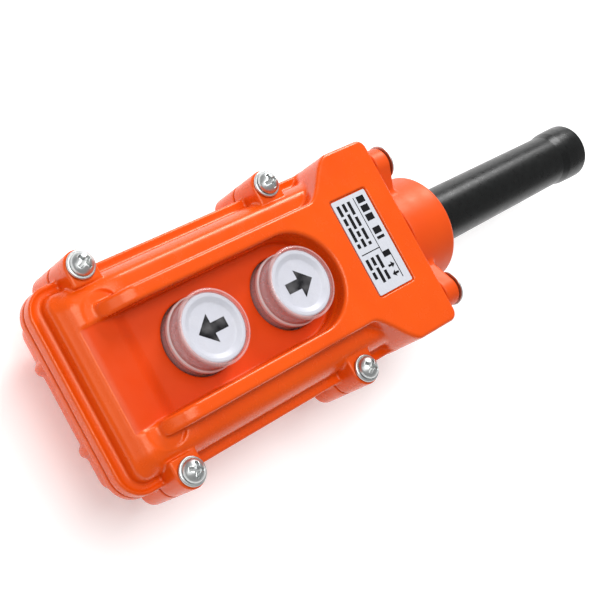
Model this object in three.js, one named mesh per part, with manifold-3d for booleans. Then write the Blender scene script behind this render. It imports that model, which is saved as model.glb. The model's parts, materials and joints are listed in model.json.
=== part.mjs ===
// Two-button pendant push-button station of an electric hoist, as an assembly of its real pieces.
// Millimetres. X runs across the body, Y along it towards the cable sleeve, Z out of the button face.
// The station lies on the two rails of its back; the origin is under the middle of its outline.
import * as THREE from 'three';
import { mergeVertices } from 'three/addons/utils/BufferGeometryUtils.js';
import Module from 'manifold-3d';

const wasm = await Module();
wasm.setup();

// ---------------------------------------------------------------- driving dimensions
const GAP = 0.3; // clearance between pieces that touch

const END_Y = -108.3; // lower end of both shells
const HEAD_Y = 9.3; // cable end of both shells
const TIP_Y = 108.3; // free end of the rubber sleeve
const FLANGE_HALF = 30; // half width of the joint flanges
const FLARE_HALF = 30.4; // half width of the flared cable end
const END_CORNER = 7.8;

const PART_Z = 27.8; // plane where cover and casing meet
const RIM_Z = 31.8; // lip of the cover flange
const VALLEY_Z = 31; // channel between the lip and the raised body
const FLOOR_Z = 36.2; // flat around the buttons
const END_CREST_Z = 38.7; // top of the body at its lower end
const CREST_Z = 40.6; // top of the shoulders
const SEAT_Z = 38.6; // screw seats
const DECK_Z = 45.2; // label deck and rib tops
const LIP = 1.4;

const BODY_HALF = 27;
const BODY_END_Y = -104.6;
const END_SLOPE = [[-100.6, 38.7], [-104.2, 35.6]]; // slope above the end wall, as y and z
const FLOOR_START_Y = -86.5;
const RIB_IN = 14.9;
const RIB_OUT = 19.3;
const RIB_END_Y = -95;
const NOSE_DISH_R = 5.6; // shallow dish around the nose of each rib
const FLARE_START_Y = -21;
const FLARE_END_Y = -6.5;

const SCREW_X = 30;
const SCREW_Y = [-92.15, -26.35];
const BOSS_R = 4.5;
const BOSS_FOOT_Z = 15.6;
const SCREW_HOLE_R = 2.2;
const SCREW_R = 1.85;

const BUTTON_Y = { up: -37.15, down: -69.55 };
const BUTTON_HOLE_R = 11.35;
const BUTTON_TRAVEL = 3.2;
const BOOT_TOP_Z = 46.3;
const BOOT_FOOT_Z = 32;
const STEM_R = 4;
const PIN_R = 2.2;

const BACK_Z = 1.2; // underside of the back, above the rails
const BACK_RIM_Z = 24.4;
const TUB_HALF = 25.6;
const TUB_END_Y = -103;
const TUB_END_R = 14;
const TUB_SIDE_R = 10;
const RAIL_X = 12.5;
const RAIL_W = 3.4;
const WALL = 2.7;

const COLLAR_R = 17;
const COLLAR_END_Y = 26.4;
const COLLAR_FLANGE_Y = 15.4;
const COLLAR_AXIS_Z = PART_Z;
const EAR_X = 21.8;
const EAR_DZ = 12.2;
const EAR_R = 4.9;
const SPIGOT_R = 12.9;

const LABEL = { x: -1.3, y: -6.7, w: 30.3, h: 14, t: 0.35 };

const BLOCK = { half: 19, y0: -84, y1: -22.6, z0: 9, z1: 25.3 };
const BLOCK_SCREW_Y = [-88.2, -18.4];
const CLAMP_Y = -7.5;

// ---------------------------------------------------------------- materials
function plain(color, roughness, metalness = 0) {
  return new THREE.MeshStandardMaterial({ color, roughness, metalness });
}
const ORANGE = plain(0xea4c1c, 0.35);
const RUBBER = plain(0x1f2120, 0.5);
const CLEAR = plain(0xe6dcd8, 0.12);
CLEAR.transparent = true;
CLEAR.opacity = 0.4;
const WHITE = plain(0xdfe0e8, 0.35);
const ZINC = plain(0xc9cbc8, 0.28, 1);
const BRASS = plain(0xb8923f, 0.3, 1);
const LABEL_FACE = plain(0xe2e4e8, 0.4);
const BLACK = plain(0x26272a, 0.55);
const GASKET = plain(0x2c2c2c, 0.8);
const NYLON = plain(0xd8d4c8, 0.45);

// ---------------------------------------------------------------- helpers
function solid(geometry) {
  const bare = geometry.clone();
  bare.deleteAttribute('normal');
  bare.deleteAttribute('uv');
  const merged = mergeVertices(bare, 1e-4);
  const pos = merged.attributes.position.array;
  const index = merged.index.array;
  const tris = [];
  let volume = 0;
  const a = new THREE.Vector3();
  const b = new THREE.Vector3();
  const c = new THREE.Vector3();
  for (let i = 0; i < index.length; i += 3) {
    const [p, q, r] = [index[i], index[i + 1], index[i + 2]];
    if (p === q || q === r || r === p) continue;
    a.fromArray(pos, 3 * p);
    b.fromArray(pos, 3 * q);
    c.fromArray(pos, 3 * r);
    volume += a.dot(b.cross(c));
    tris.push(p, q, r);
  }
  if (volume < 0) {
    for (let i = 0; i < tris.length; i += 3) {
      [tris[i + 1], tris[i + 2]] = [tris[i + 2], tris[i + 1]];
    }
  }
  const mesh = new wasm.Mesh({
    numProp: 3,
    vertProperties: Float32Array.from(pos),
    triVerts: Uint32Array.from(tris),
  });
  return new wasm.Manifold(mesh);
}

function geometryOf(body) {
  const mesh = body.getMesh();
  const geometry = new THREE.BufferGeometry();
  geometry.setAttribute('position', new THREE.BufferAttribute(mesh.vertProperties, 3));
  geometry.setIndex(new THREE.BufferAttribute(mesh.triVerts, 1));
  geometry.computeVertexNormals();
  return geometry;
}

function join(list) {
  return list.reduce((sum, item) => sum.add(item));
}

function cut(body, list) {
  return list.reduce((rest, item) => rest.subtract(item), body);
}

// A shape in X and Y, extruded from z0 to z1.
function prismZ(shape, z0, z1, segments = 8, round = 0) {
  const options = { depth: z1 - z0, bevelEnabled: false, curveSegments: segments };
  if (round > 0) {
    options.depth = z1 - z0 - 2 * round;
    options.bevelEnabled = true;
    options.bevelThickness = round;
    options.bevelSize = round;
    options.bevelOffset = -round;
    options.bevelSegments = 2;
  }
  const geometry = new THREE.ExtrudeGeometry(shape, options);
  geometry.translate(0, 0, z0 + round);
  return solid(geometry);
}

// A shape in Y and Z, extruded from x0 to x1.
function prismX(shape, x0, x1, segments = 8) {
  const options = { depth: x1 - x0, bevelEnabled: false, curveSegments: segments };
  const geometry = new THREE.ExtrudeGeometry(shape, options);
  const turn = new THREE.Matrix4().makeBasis(
    new THREE.Vector3(0, 1, 0),
    new THREE.Vector3(0, 0, 1),
    new THREE.Vector3(1, 0, 0),
  );
  geometry.applyMatrix4(turn);
  geometry.translate(x0, 0, 0);
  return solid(geometry);
}

// A shape in X and Z, extruded from y0 to y1.
function prismY(shape, y0, y1, segments = 8) {
  const options = { depth: y1 - y0, bevelEnabled: false, curveSegments: segments };
  const geometry = new THREE.ExtrudeGeometry(shape, options);
  geometry.rotateX(Math.PI / 2);
  geometry.translate(0, y1, 0);
  return solid(geometry);
}

// A profile of [radius, height] pairs turned about a vertical axis.
function turnZ(profile, x, y, segments = 28) {
  const points = profile.map(([r, z]) => new THREE.Vector2(r, z));
  const geometry = new THREE.LatheGeometry(points, segments);
  geometry.rotateX(Math.PI / 2);
  geometry.translate(x, y, 0);
  return solid(geometry);
}

// A profile of [radius, y] pairs turned about an axis along Y.
function turnY(profile, x, z, segments = 28) {
  const points = profile.map(([r, y]) => new THREE.Vector2(r, y));
  const geometry = new THREE.LatheGeometry(points, segments);
  geometry.translate(x, 0, z);
  return solid(geometry);
}

function rodZ(r, z0, z1, x, y, segments = 16) {
  return turnZ([[0, z0], [r, z0], [r, z1], [0, z1]], x, y, segments);
}

function rodY(r, y0, y1, x, z, segments = 16) {
  return turnY([[0, y0], [r, y0], [r, y1], [0, y1]], x, z, segments);
}

function box(x0, x1, y0, y1, z0, z1) {
  const geometry = new THREE.BoxGeometry(x1 - x0, y1 - y0, z1 - z0);
  geometry.translate((x0 + x1) / 2, (y0 + y1) / 2, (z0 + z1) / 2);
  return solid(geometry);
}

function polygon(points) {
  const shape = new THREE.Shape();
  points.forEach(([u, v], i) => (i ? shape.lineTo(u, v) : shape.moveTo(u, v)));
  shape.closePath();
  return shape;
}

function roundedRect(half, y0, y1, r0, r1) {
  const shape = new THREE.Shape();
  shape.moveTo(-half + r0, y0);
  shape.lineTo(half - r0, y0);
  shape.absarc(half - r0, y0 + r0, r0, -Math.PI / 2, 0);
  shape.lineTo(half, y1 - r1);
  shape.absarc(half - r1, y1 - r1, r1, 0, Math.PI / 2);
  shape.lineTo(-half + r1, y1);
  shape.absarc(-half + r1, y1 - r1, r1, Math.PI / 2, Math.PI);
  shape.lineTo(-half, y0 + r0);
  shape.absarc(-half + r0, y0 + r0, r0, Math.PI, 1.5 * Math.PI);
  return shape;
}

const group = new THREE.Group();
group.name = 'pendant_station';
function piece(name, body, material) {
  const mesh = new THREE.Mesh(geometryOf(body), material);
  mesh.name = name;
  group.add(mesh);
}

// ---------------------------------------------------------------- front cover
function deckOutline() {
  const s = new THREE.Shape();
  const ribMid = (RIB_IN + RIB_OUT) / 2;
  const ribR = (RIB_OUT - RIB_IN) / 2;
  const midY = (FLARE_START_Y + FLARE_END_Y) / 2;
  s.moveTo(RIB_IN, RIB_END_Y + ribR);
  s.absarc(ribMid, RIB_END_Y + ribR, ribR, Math.PI, 2 * Math.PI);
  s.lineTo(RIB_OUT, FLARE_START_Y);
  s.bezierCurveTo(RIB_OUT, midY, FLARE_HALF, midY, FLARE_HALF, FLARE_END_Y);
  s.lineTo(FLARE_HALF, HEAD_Y - 3);
  s.absarc(FLARE_HALF - 3, HEAD_Y - 3, 3, 0, Math.PI / 2);
  s.lineTo(-FLARE_HALF + 3, HEAD_Y);
  s.absarc(-FLARE_HALF + 3, HEAD_Y - 3, 3, Math.PI / 2, Math.PI);
  s.lineTo(-FLARE_HALF, FLARE_END_Y);
  s.bezierCurveTo(-FLARE_HALF, midY, -RIB_OUT, midY, -RIB_OUT, FLARE_START_Y);
  s.lineTo(-RIB_OUT, RIB_END_Y + ribR);
  s.absarc(-ribMid, RIB_END_Y + ribR, ribR, Math.PI, 2 * Math.PI);
  s.lineTo(-RIB_IN, BUTTON_Y.up);
  s.absarc(0, BUTTON_Y.up, RIB_IN, Math.PI, 0, true);
  s.lineTo(RIB_IN, RIB_END_Y + ribR);
  return s;
}

function shoulderSection() {
  const s = new THREE.Shape();
  const r = 6.2;
  s.moveTo(-BODY_HALF, PART_Z + 1);
  s.lineTo(BODY_HALF, PART_Z + 1);
  s.lineTo(BODY_HALF - 0.4, CREST_Z - r);
  s.absarc(BODY_HALF - 0.4 - r, CREST_Z - r, r, 0, Math.PI / 2);
  s.lineTo(-BODY_HALF + 0.4 + r, CREST_Z);
  s.absarc(-BODY_HALF + 0.4 + r, CREST_Z - r, r, Math.PI / 2, Math.PI);
  return s;
}

function bodySide() {
  const s = new THREE.Shape();
  s.moveTo(HEAD_Y - 3, PART_Z + 1);
  s.lineTo(HEAD_Y - 3, CREST_Z);
  s.lineTo(-84, CREST_Z);
  for (const [y, z] of END_SLOPE) s.lineTo(y, z);
  s.lineTo(BODY_END_Y, PART_Z + 1);
  return s;
}

function deckSide() {
  const s = new THREE.Shape();
  s.moveTo(RIB_END_Y - 1, VALLEY_Z + 2);
  s.lineTo(HEAD_Y + 1, VALLEY_Z + 2);
  s.lineTo(HEAD_Y + 1, DECK_Z + 1);
  s.lineTo(RIB_END_Y + 11, DECK_Z + 1);
  s.quadraticCurveTo(RIB_END_Y + 5, DECK_Z + 0.2, RIB_END_Y, END_CREST_Z - 0.3);
  s.lineTo(RIB_END_Y - 1, END_CREST_Z - 1.2);
  return s;
}

function frontCover() {
  const low = PART_Z + GAP / 2;
  let flange = prismZ(roundedRect(FLANGE_HALF, END_Y, HEAD_Y, END_CORNER, 3), low, RIM_Z, 5);
  const valley = roundedRect(FLANGE_HALF - LIP, END_Y + LIP, FLARE_END_Y, END_CORNER - 2, 1);
  flange = flange.subtract(prismZ(valley, VALLEY_Z, RIM_Z + 1, 5));
  const plan = roundedRect(BODY_HALF, BODY_END_Y, HEAD_Y - 3, 4.1, 1);
  let body = prismZ(plan, low, CREST_Z + 1, 5);
  body = body.intersect(prismY(shoulderSection(), BODY_END_Y - 1, HEAD_Y, 5));
  body = body.intersect(prismX(bodySide(), -BODY_HALF - 1, BODY_HALF + 1, 4));
  for (const side of [-1, 1]) {
    const x = side * (RIB_OUT + 1.3);
    const groove = new THREE.Shape();
    groove.absarc(x, -89, 2.1, Math.PI, 2 * Math.PI);
    groove.lineTo(x + 2.1, FLARE_END_Y);
    groove.lineTo(x - 2.1, FLARE_END_Y);
    body = body.subtract(prismZ(groove, CREST_Z - 0.9, CREST_Z + 2, 4));
    const noseX = side * (RIB_IN + RIB_OUT) / 2;
    const noseY = RIB_END_Y + (RIB_OUT - RIB_IN) / 2;
    body = body.subtract(rodZ(NOSE_DISH_R, END_CREST_Z + 0.1, CREST_Z + 2, noseX, noseY, 28));
  }
  let deck = prismZ(deckOutline(), VALLEY_Z - 4, DECK_Z, 7, 0.9);
  deck = deck.intersect(prismX(deckSide(), -FLARE_HALF - 1, FLARE_HALF + 1, 4));
  const flareFoot = new THREE.Shape();
  const midY = (FLARE_START_Y + FLARE_END_Y) / 2;
  flareFoot.moveTo(-RIB_OUT, FLARE_START_Y);
  flareFoot.bezierCurveTo(-RIB_OUT, midY, -FLARE_HALF, midY, -FLARE_HALF, FLARE_END_Y);
  flareFoot.lineTo(-FLARE_HALF, HEAD_Y - 3);
  flareFoot.absarc(-FLARE_HALF + 3, HEAD_Y - 3, 3, Math.PI, Math.PI / 2, true);
  flareFoot.lineTo(FLARE_HALF - 3, HEAD_Y);
  flareFoot.absarc(FLARE_HALF - 3, HEAD_Y - 3, 3, Math.PI / 2, 0, true);
  flareFoot.lineTo(FLARE_HALF, FLARE_END_Y);
  flareFoot.bezierCurveTo(FLARE_HALF, midY, RIB_OUT, midY, RIB_OUT, FLARE_START_Y);
  let cover = join([flange, body, deck, prismZ(flareFoot, low, DECK_Z - 4, 7)]);
  for (const side of [-1, 1]) {
    for (const y of SCREW_Y) {
      const x = side * SCREW_X;
      const seat = [
        [0, low], [BOSS_R, low], [BOSS_R, SEAT_Z - 0.4], [BOSS_R - 0.4, SEAT_Z], [0, SEAT_Z],
      ];
      const inner = side * 25;
      cover = cover.add(turnZ(seat, x, y, 20));
      cover = cover.add(
        box(Math.min(x, inner), Math.max(x, inner), y - 4.4, y + 4.4, PART_Z + 1, SEAT_Z - 0.02),
      );
    }
  }
  const floorCut = new THREE.Shape();
  floorCut.moveTo(-RIB_IN, FLOOR_START_Y);
  floorCut.lineTo(RIB_IN, FLOOR_START_Y);
  floorCut.lineTo(RIB_IN, BUTTON_Y.up);
  floorCut.absarc(0, BUTTON_Y.up, RIB_IN, 0, Math.PI);
  const rampStart = END_SLOPE[0][0];
  const ramp = polygon([
    [FLOOR_START_Y + 0.01, FLOOR_Z], [FLOOR_START_Y + 0.01, CREST_Z + 2],
    [rampStart, CREST_Z + 2], [rampStart, END_CREST_Z + 0.05],
  ]);
  const hollow = roundedRect(23.4, BODY_END_Y + WALL, HEAD_Y - WALL, 4, 1);
  const tools = [
    prismZ(floorCut, FLOOR_Z, CREST_Z + 0.3, 7),
    prismX(ramp, -RIB_IN, RIB_IN),
    prismZ(hollow, PART_Z - 1, FLOOR_Z - 2.6, 3),
    box(-16, 16, -19.4, HEAD_Y - WALL, PART_Z, DECK_Z - 2.8),
    box(
      LABEL.x - LABEL.w / 2 - 0.5, LABEL.x + LABEL.w / 2 + 0.5,
      LABEL.y - LABEL.h / 2 - 0.5, LABEL.y + LABEL.h / 2 + 0.5, DECK_Z - 0.9, DECK_Z + 1,
    ),
    rodY(SPIGOT_R + GAP, HEAD_Y - 5, HEAD_Y + 1, 0, COLLAR_AXIS_Z, 28),
  ];
  for (const side of [-1, 1]) {
    tools.push(rodY(2.9, 1.6, HEAD_Y + 1, side * EAR_X, COLLAR_AXIS_Z + EAR_DZ, 12));
    for (const y of SCREW_Y) {
      tools.push(rodZ(SCREW_HOLE_R, PART_Z - 1, SEAT_Z + 1, side * SCREW_X, y, 12));
    }
  }
  for (const y of Object.values(BUTTON_Y)) {
    tools.push(rodZ(BUTTON_HOLE_R, FLOOR_Z - 4, FLOOR_Z + 1, 0, y, 36));
  }
  return cut(cover, tools);
}
piece('front_cover', frontCover(), ORANGE);

// ---------------------------------------------------------------- back casing
function tubSection(half, bottom, r, top) {
  const s = new THREE.Shape();
  s.moveTo(-half, top);
  s.lineTo(-half, bottom + r);
  s.absarc(-half + r, bottom + r, r, Math.PI, 1.5 * Math.PI);
  s.lineTo(half - r, bottom);
  s.absarc(half - r, bottom + r, r, 1.5 * Math.PI, 2 * Math.PI);
  s.lineTo(half, top);
  return s;
}

function tubSide(y0, y1, bottom, r0, r1, top) {
  const s = new THREE.Shape();
  s.moveTo(y0, top);
  s.lineTo(y0, bottom + r0);
  s.absarc(y0 + r0, bottom + r0, r0, Math.PI, 1.5 * Math.PI);
  s.lineTo(y1 - r1, bottom);
  s.absarc(y1 - r1, bottom + r1, r1, 1.5 * Math.PI, 2 * Math.PI);
  s.lineTo(y1, top);
  return s;
}

function tub(half, y0, y1, bottom, sideR, endR, headR, corner, top) {
  const plan = prismZ(roundedRect(half, y0, y1, corner, 1.5), bottom - 1, top, 4);
  const across = prismY(tubSection(half, bottom, sideR, top + 1), y0 - 1, y1 + 1, 4);
  const along = prismX(tubSide(y0, y1, bottom, endR, headR, top + 1), -half - 1, half + 1, 5);
  return plan.intersect(across).intersect(along);
}

function gasketPath(inner, outer, z0, z1) {
  const outside = roundedRect(outer, END_Y + FLANGE_HALF - outer, HEAD_Y - 3.6, 6.5, 0.5);
  const inside = roundedRect(inner, END_Y + FLANGE_HALF - inner, HEAD_Y + 3, 5, 0.5);
  return prismZ(outside, z0, z1, 4).subtract(prismZ(inside, z0 - 1, z1 + 1, 4));
}

function backCasing() {
  const high = PART_Z - GAP / 2;
  const rim = prismZ(roundedRect(FLANGE_HALF, END_Y, HEAD_Y, END_CORNER, 3), BACK_RIM_Z, high, 5);
  const head = prismZ(roundedRect(FLARE_HALF, FLARE_END_Y, HEAD_Y, 2, 3), 19, high, 4);
  let casing = join([
    rim,
    head,
    tub(TUB_HALF, TUB_END_Y, HEAD_Y, BACK_Z, TUB_SIDE_R, TUB_END_R, 5, 11, high - 1),
  ]);
  for (const side of [-1, 1]) {
    const rail = tubSide(TUB_END_Y - 1.2, HEAD_Y - 4, 0, TUB_END_R + 1.2, 5, BACK_RIM_Z + 1);
    const x = side * RAIL_X;
    casing = casing.add(prismX(rail, x - RAIL_W / 2, x + RAIL_W / 2, 5));
    for (const y of SCREW_Y) {
      const sx = side * SCREW_X;
      const foot = [
        [0, BOSS_FOOT_Z], [BOSS_R - 1, BOSS_FOOT_Z], [BOSS_R, BOSS_FOOT_Z + 1],
        [BOSS_R, high], [0, high],
      ];
      casing = casing.add(turnZ(foot, sx, y, 20));
      casing = casing.add(box(
        Math.min(sx, side * 24), Math.max(sx, side * 24), y - 4, y + 4, BOSS_FOOT_Z, high - 1,
      ));
    }
  }
  const inside = tub(
    TUB_HALF - WALL, TUB_END_Y + WALL, HEAD_Y - WALL, BACK_Z + WALL,
    TUB_SIDE_R - WALL, TUB_END_R - WALL, 2.5, 8.5, PART_Z + 1,
  );
  casing = casing.subtract(inside);
  const inner = [];
  for (const y of BLOCK_SCREW_Y) {
    inner.push(rodZ(4, BACK_Z + 1, BLOCK.z0 - GAP, 0, y, 12));
  }
  for (const side of [-1, 1]) {
    inner.push(rodZ(4, BACK_Z + 1, 22, side * 12.5, CLAMP_Y, 12));
    inner.push(rodY(4.4, 0.4, HEAD_Y - 0.5, side * EAR_X, COLLAR_AXIS_Z - EAR_DZ, 14));
  }
  casing = join([casing, ...inner]);
  const tools = [
    gasketPath(24.5, 26.5, PART_Z - 1.6, PART_Z + 1),
    rodY(SPIGOT_R + GAP, HEAD_Y - 5, HEAD_Y + 1, 0, COLLAR_AXIS_Z, 28),
  ];
  for (const y of BLOCK_SCREW_Y) {
    tools.push(rodZ(1.8, BACK_Z + 2, BLOCK.z0 + 1, 0, y, 10));
  }
  for (const side of [-1, 1]) {
    tools.push(rodZ(1.8, 12, 23, side * 12.5, CLAMP_Y, 10));
    tools.push(rodY(2.9, 1.6, HEAD_Y + 1, side * EAR_X, COLLAR_AXIS_Z - EAR_DZ, 12));
    for (const y of SCREW_Y) {
      tools.push(rodZ(3.3, BOSS_FOOT_Z + 1.4, PART_Z + 1, side * SCREW_X, y, 14));
    }
  }
  return cut(casing, tools);
}
piece('back_casing', backCasing(), ORANGE);
piece('joint_gasket', gasketPath(24.8, 26.2, PART_Z - 1.3, PART_Z - 0.15), GASKET);

// ---------------------------------------------------------------- rating label
const labelShape = roundedRect(LABEL.w / 2, -LABEL.h / 2, LABEL.h / 2, 0.4, 0.4);
const labelGeometry = new THREE.ExtrudeGeometry(
  labelShape, { depth: LABEL.t, bevelEnabled: false, curveSegments: 3 },
);
labelGeometry.translate(LABEL.x, LABEL.y, DECK_Z - 0.6);
piece('rating_label', solid(labelGeometry), LABEL_FACE);

// ---------------------------------------------------------------- shell screws
function crossRecess(z, depth, reach, x, y) {
  const w = 0.42;
  const a = box(x - reach, x + reach, y - w, y + w, z - depth, z + 1);
  const b = box(x - w, x + w, y - reach, y + reach, z - depth, z + 1);
  return a.add(b);
}

function coverScrew(x, y) {
  const z = SEAT_Z + 2 * GAP + 0.8;
  const profile = [
    [0, 18], [1.2, 18], [SCREW_R, 18.8], [SCREW_R, z], [3.2, z], [3.25, z + 0.7],
    [2.7, z + 1.6], [1.6, z + 2.2], [0, z + 2.35],
  ];
  return turnZ(profile, x, y, 16).subtract(crossRecess(z + 2.35, 1.3, 1.7, x, y));
}

function washer(x, y) {
  const z = SEAT_Z + GAP;
  const profile = [
    [2.1, z], [3.75, z], [3.85, z + 0.3], [3.55, z + 0.8], [2.1, z + 0.8], [2.1, z],
  ];
  return turnZ(profile, x, y, 18);
}

function insert(x, y) {
  const z0 = BOSS_FOOT_Z + 1.7;
  const z1 = PART_Z - 0.5;
  const profile = [[2.15, z0], [3, z0], [3, z1], [2.15, z1], [2.15, z0]];
  return turnZ(profile, x, y, 12);
}

const corners = [
  ['lower_left', -SCREW_X, SCREW_Y[0]],
  ['lower_right', SCREW_X, SCREW_Y[0]],
  ['upper_left', -SCREW_X, SCREW_Y[1]],
  ['upper_right', SCREW_X, SCREW_Y[1]],
];
for (const [name, x, y] of corners) {
  piece(`cover_screw_${name}`, coverScrew(x, y), ZINC);
  piece(`cover_washer_${name}`, washer(x, y), ZINC);
  piece(`cover_insert_${name}`, insert(x, y), BRASS);
}

// ---------------------------------------------------------------- neck collar and sleeve
function neckCollar() {
  const y0 = HEAD_Y + GAP;
  const body = [
    [0, y0 - 4], [SPIGOT_R, y0 - 4], [SPIGOT_R, y0], [COLLAR_R, y0],
    [COLLAR_R, COLLAR_END_Y - 1.2], [COLLAR_R - 0.35, COLLAR_END_Y - 0.35],
    [COLLAR_R - 1.2, COLLAR_END_Y], [0, COLLAR_END_Y],
  ];
  let collar = turnY(body, 0, COLLAR_AXIS_Z, 40);
  const holes = [];
  for (const side of [-1, 1]) {
    for (const up of [-1, 1]) {
      const x = side * EAR_X;
      const z = COLLAR_AXIS_Z + up * EAR_DZ;
      collar = collar.add(rodY(EAR_R, y0, COLLAR_FLANGE_Y, x, z, 20));
      const reach = Math.hypot(EAR_X, EAR_DZ);
      const web = new THREE.BoxGeometry(reach, COLLAR_FLANGE_Y - y0, 2 * EAR_R - 0.1);
      web.translate(reach / 2, 0, 0);
      web.rotateY(-Math.atan2(up * EAR_DZ, side * EAR_X));
      web.translate(0, (y0 + COLLAR_FLANGE_Y) / 2, COLLAR_AXIS_Z);
      collar = collar.add(solid(web));
      holes.push(rodY(2.1, y0 - 1, COLLAR_FLANGE_Y + 1, x, z, 10));
    }
  }
  return cut(collar, [
    ...holes,
    rodY(11.9, y0 - 5, y0 + 1, 0, COLLAR_AXIS_Z, 28),
    rodY(9.4, y0 - 5, COLLAR_END_Y + 1, 0, COLLAR_AXIS_Z, 28),
  ]);
}
piece('neck_collar', neckCollar(), ORANGE);

function cableSleeve() {
  const bore = 5.4;
  const profile = [
    [bore, 5.9], [11.6, 5.9], [11.6, 10.2], [9.05, 10.2], [9.05, 30],
    [8.65, 95.65], [9.05, 97], [9.4, 100.5], [9.4, TIP_Y - 0.8], [8.7, TIP_Y], [bore, TIP_Y],
    [bore, 5.9],
  ];
  return turnY(profile, 0, COLLAR_AXIS_Z, 28);
}
piece('cable_sleeve', cableSleeve(), RUBBER);

function collarScrew(x, z) {
  const y = COLLAR_FLANGE_Y + GAP;
  const profile = [
    [0, 2.2], [1.7, 2.2], [1.7, y], [5.4, y], [5.4, y + 0.8], [3.4, y + 0.9],
    [2.8, y + 2.3], [0, y + 2.8],
  ];
  const w = 0.42;
  const top = y + 2.8;
  const a = box(x - 1.7, x + 1.7, top - 1.2, top + 1, z - w, z + w);
  const b = box(x - w, x + w, top - 1.2, top + 1, z - 1.7, z + 1.7);
  return cut(turnY(profile, x, z, 16), [a, b]);
}

const ears = [
  ['front_left', -EAR_X, COLLAR_AXIS_Z + EAR_DZ],
  ['front_right', EAR_X, COLLAR_AXIS_Z + EAR_DZ],
  ['back_left', -EAR_X, COLLAR_AXIS_Z - EAR_DZ],
  ['back_right', EAR_X, COLLAR_AXIS_Z - EAR_DZ],
];
for (const [name, x, z] of ears) {
  const sleeve = [[2, 1.9], [2.6, 1.9], [2.6, HEAD_Y - 0.2], [2, HEAD_Y - 0.2], [2, 1.9]];
  piece(`collar_screw_${name}`, collarScrew(x, z), ZINC);
  piece(`collar_insert_${name}`, turnY(sleeve, x, z, 12), BRASS);
}

// ---------------------------------------------------------------- buttons
function boot(y) {
  const t = BOOT_TOP_Z;
  const profile = [
    [10.2, BOOT_FOOT_Z], [13.4, BOOT_FOOT_Z], [13.4, 33.3], [10.95, 33.3],
    [10.95, 38.6], [10.5, 39], [10.5, 44.8], [10.85, 45.3], [10.5, t], [0, t],
    [0, t - 0.5], [9.85, t - 0.6], [9.85, 38.8], [10.2, 38.4], [10.2, BOOT_FOOT_Z],
  ];
  return turnZ(profile, 0, y, 30);
}

// A cup with a skirt that hangs down around the head of the plunger.
function cap(y) {
  const z = BOOT_TOP_Z - 0.8;
  const profile = [
    [0, 41], [8.4, 41], [8.4, 33.2], [9.3, 33.2], [9.5, 44.7], [9, z], [7.5, z],
    [6.8, z - 0.55], [0, z - 0.55],
  ];
  return turnZ(profile, 0, y, 28);
}

function plunger(y) {
  const profile = [
    [0, 17], [PIN_R, 17], [PIN_R, 31], [STEM_R, 31], [STEM_R, 35.5], [6.6, 35.5], [6.6, 37],
    [STEM_R, 37], [STEM_R, 40.7], [0, 40.7],
  ];
  return turnZ(profile, 0, y, 16);
}

function springCoil(y) {
  const z0 = 11.3 + 0.4;
  const z1 = 29.6 - 0.4;
  const turns = 5;
  const r = 3.45;
  const wire = 0.4;
  class Coil extends THREE.Curve {
    getPoint(t, target = new THREE.Vector3()) {
      const a = 2 * Math.PI * turns * t;
      return target.set(r * Math.cos(a), y + r * Math.sin(a), z0 + (z1 - z0) * t);
    }
  }
  const section = new THREE.Shape();
  const sides = 5;
  for (let i = 0; i < sides; i += 1) {
    const a = (2 * Math.PI * i) / sides;
    const [u, v] = [wire * Math.cos(a), wire * Math.sin(a)];
    if (i === 0) section.moveTo(u, v);
    else section.lineTo(u, v);
  }
  section.closePath();
  const options = { steps: turns * 9, extrudePath: new Coil(), bevelEnabled: false };
  return solid(new THREE.ExtrudeGeometry(section, options));
}

function contactBridge(y) {
  const bar = box(-9.3, 9.3, y - 2.6, y + 2.6, 29.9, 30.7);
  return bar.subtract(rodZ(PIN_R + 0.3, 29, 32, 0, y, 12));
}

function fixedContact(side, y) {
  const x0 = side > 0 ? 6.2 : -17.6;
  const x1 = side > 0 ? 17.6 : -6.2;
  const strip = box(x0, x1, y - 3, y + 3, BLOCK.z1 + GAP, BLOCK.z1 + 1.1);
  return strip.subtract(rodZ(1.9, BLOCK.z1 - 1, BLOCK.z1 + 3, side * 13.8, y, 10));
}

function terminalScrew(side, y) {
  const z = BLOCK.z1 + 1.4;
  const profile = [
    [0, 18.4], [1.5, 18.4], [1.5, z], [2.9, z], [2.9, z + 1.3], [2.3, z + 2], [0, z + 2.1],
  ];
  const x = side * 13.8;
  const slot = box(x - 4, x + 4, y - 0.4, y + 0.4, z + 1.1, z + 4);
  return turnZ(profile, x, y, 12).subtract(slot);
}

function bootRing(y) {
  const profile = [[10.4, 29.9], [13.6, 29.9], [13.6, 31.7], [10.4, 31.7], [10.4, 29.9]];
  return turnZ(profile, 0, y, 24);
}

for (const [name, y] of Object.entries(BUTTON_Y)) {
  piece(`${name}_boot`, boot(y), CLEAR);
  piece(`${name}_boot_ring`, bootRing(y), BLACK);
  piece(`${name}_cap`, cap(y), WHITE);
  piece(`${name}_plunger`, plunger(y), NYLON);
  piece(`${name}_bridge`, contactBridge(y), BRASS);
  piece(`${name}_spring`, springCoil(y), ZINC);
  for (const [sideName, side] of [['left', -1], ['right', 1]]) {
    piece(`${name}_contact_${sideName}`, fixedContact(side, y), BRASS);
    piece(`${name}_terminal_${sideName}`, terminalScrew(side, y), ZINC);
  }
}

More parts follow.
